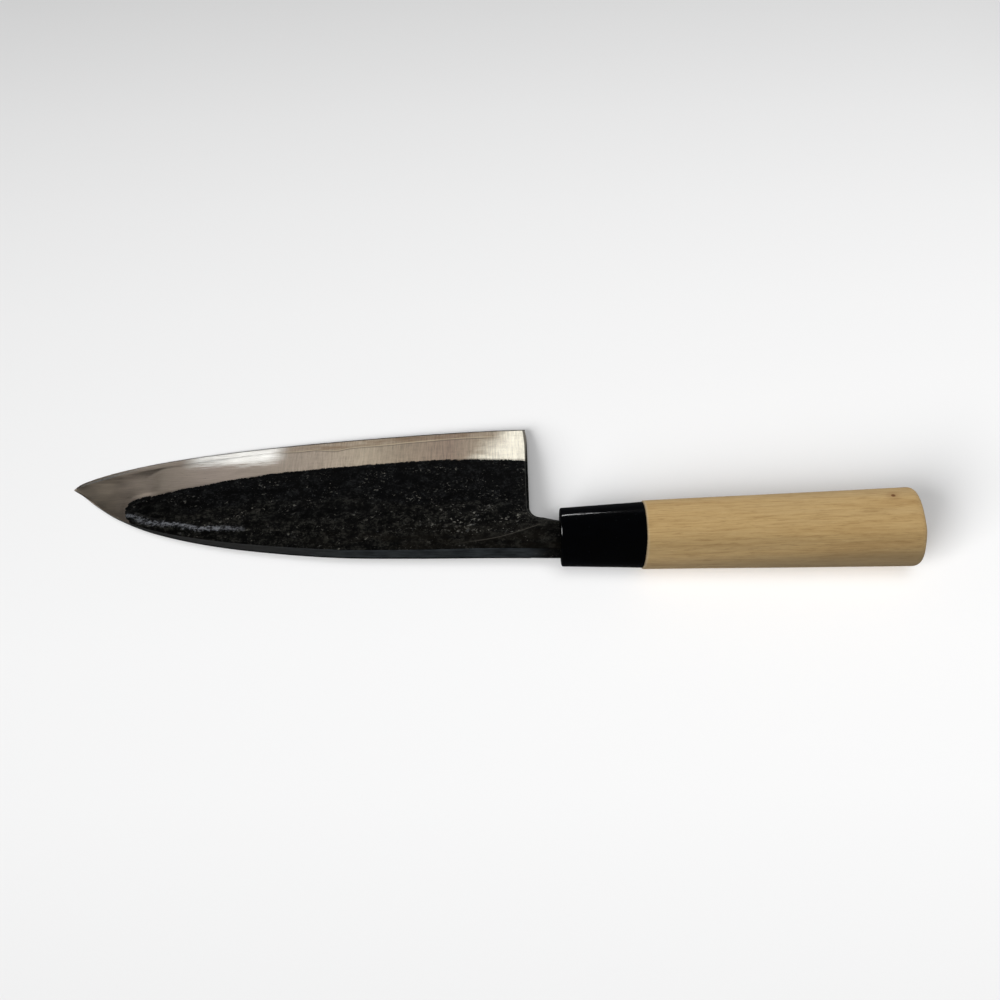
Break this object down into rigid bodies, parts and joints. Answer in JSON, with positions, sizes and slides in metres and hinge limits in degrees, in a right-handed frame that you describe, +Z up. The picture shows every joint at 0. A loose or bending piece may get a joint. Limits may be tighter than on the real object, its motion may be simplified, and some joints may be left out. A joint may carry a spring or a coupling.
{
  "type": "deba knife",
  "caption": "Thick single-bevel fish and butchery knife with a forge-black blade, black ferrule and pale wood handle, lying on its back face.",
  "frame": {"origin": "middle of the bottom of the bounding box, on the surface the knife lies on", "axes": "+X from the tip towards the butt, +Y from the spine towards the cutting edge, +Z up, out of the ground front face"},
  "size_m": [0.2846, 0.0598, 0.0238],
  "materials": {
    "forge_black_iron": "black forge scale left on the soft iron, flaked in places, with the wide bevel ground bare and finely scratched",
    "ground_edge_steel": "hard steel layer ground bright, fine scratches across the edge, dark line along the edge",
    "black_plastic": "black moulded plastic, glossy with light handling marks",
    "pale_wood": "unvarnished pale magnolia wood, fine straight grain, one small pin knot near the butt",
    "dark_resin": "dark set resin, dull"
  },
  "bodies": {
    "root": {"blade_body": "forge_black_iron", "edge_steel": "ground_edge_steel", "ferrule": "black_plastic", "handle": "pale_wood", "tang_seal": "dark_resin"}
  },
  "joints": []
}
